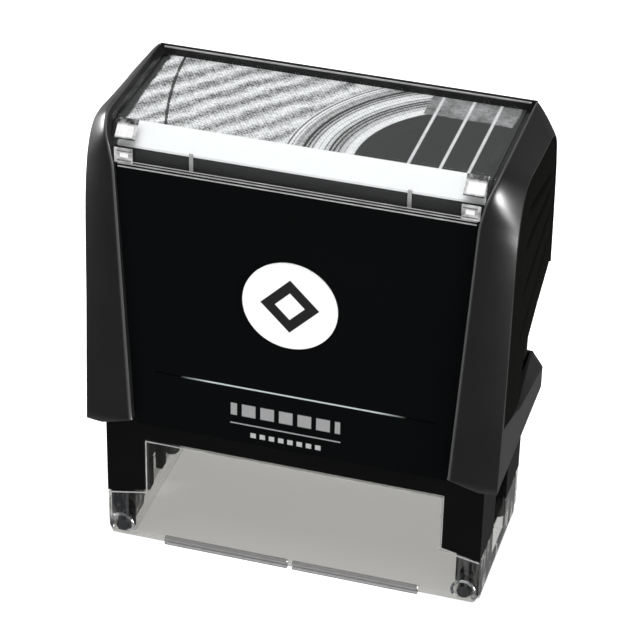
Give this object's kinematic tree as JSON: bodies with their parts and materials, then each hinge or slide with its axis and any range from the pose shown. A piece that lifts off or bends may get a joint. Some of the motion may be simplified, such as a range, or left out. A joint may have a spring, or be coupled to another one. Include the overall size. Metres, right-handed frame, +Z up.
{
  "type": "self inking stamp",
  "caption": "Self-inking hand stamp: a spring-up cap presses a turning rubber die from its ink pad onto the paper through a clear foot.",
  "frame": {"origin": "on the paper plane, under the middle of the whole object", "axes": "+X to the right as seen from the front, -Y to the front with the black plate and the label, +Z up towards the card window"},
  "size_m": [0.0754, 0.037, 0.0872],
  "materials": {
    "housing_black": "fine-grained black injection-moulded plastic",
    "rail_graphite": "satin graphite-black moulded plastic with polished edges",
    "plate_black": "flat matte black",
    "grip_rubber": "soft matte black elastomer",
    "clear_plastic": "clear polished plastic",
    "smoked_clear": "clear plastic with a warm grey tint",
    "card_print": "printed card, grey pattern on white",
    "label_white": "white printed film",
    "carrier_grey": "grey moulded plastic",
    "foam": "adhesive foam",
    "die_rubber": "laser-engraved rubber",
    "ink_felt": "felt soaked with black ink",
    "stud_rubber": "dark rubber",
    "spring_steel": "bright drawn steel wire"
  },
  "bodies": {
    "base": {"skirt_frame": "housing_black", "positioning_foot": "smoked_clear", "foot_stud_front_left": "stud_rubber", "foot_stud_front_right": "stud_rubber", "foot_stud_rear_left": "stud_rubber", "foot_stud_rear_right": "stud_rubber", "return_spring_left": "spring_steel", "return_spring_right": "spring_steel"},
    "cap": {"cap_shell": "rail_graphite", "front_plate": "plate_black", "round_label": "label_white", "grip_pad_left": "grip_rubber", "grip_pad_right": "grip_rubber", "index_card": "card_print", "actuating_bow": "housing_black"},
    "window": {"top_window": "clear_plastic"},
    "die": {"die_carrier": "carrier_grey", "foam_layer": "foam", "text_plate": "die_rubber"},
    "cartridge": {"ink_tray": "housing_black", "ink_pad": "ink_felt"},
    "lock_left": {"lock_button_left": "grip_rubber"},
    "lock_right": {"lock_button_right": "grip_rubber"}
  },
  "joints": [
    {"name": "cap_press", "type": "slide", "parent": "base", "child": "cap", "axis": [0, 0, -1], "range_m": [0, 0.026], "stiffness_N_per_m": 300, "springref_m": -0.012, "deforming": ["return_spring_left", "return_spring_right"]},
    {"name": "die_turn", "type": "hinge", "parent": "cap", "child": "die", "pos_m": [0, 0, 0.031], "axis": [1, 0, 0], "range_deg": [0, 180]},
    {"name": "window_lift", "type": "slide", "parent": "cap", "child": "window", "axis": [0, 0, 1], "range_m": [0, 0.02]},
    {"name": "cartridge_slide", "type": "slide", "parent": "base", "child": "cartridge", "axis": [0, 1, 0], "range_m": [0, 0.032]},
    {"name": "lock_left_press", "type": "slide", "parent": "base", "child": "lock_left", "axis": [1, 0, 0], "range_m": [0, 0.001], "stiffness_N_per_m": 400, "springref_m": -0.001},
    {"name": "lock_right_press", "type": "slide", "parent": "base", "child": "lock_right", "axis": [-1, 0, 0], "range_m": [0, 0.001], "stiffness_N_per_m": 400, "springref_m": -0.001}
  ],
  "couplings": [
    {"joint": "die_turn", "follows": "cap_press", "rad_per_m": 120.83}
  ]
}
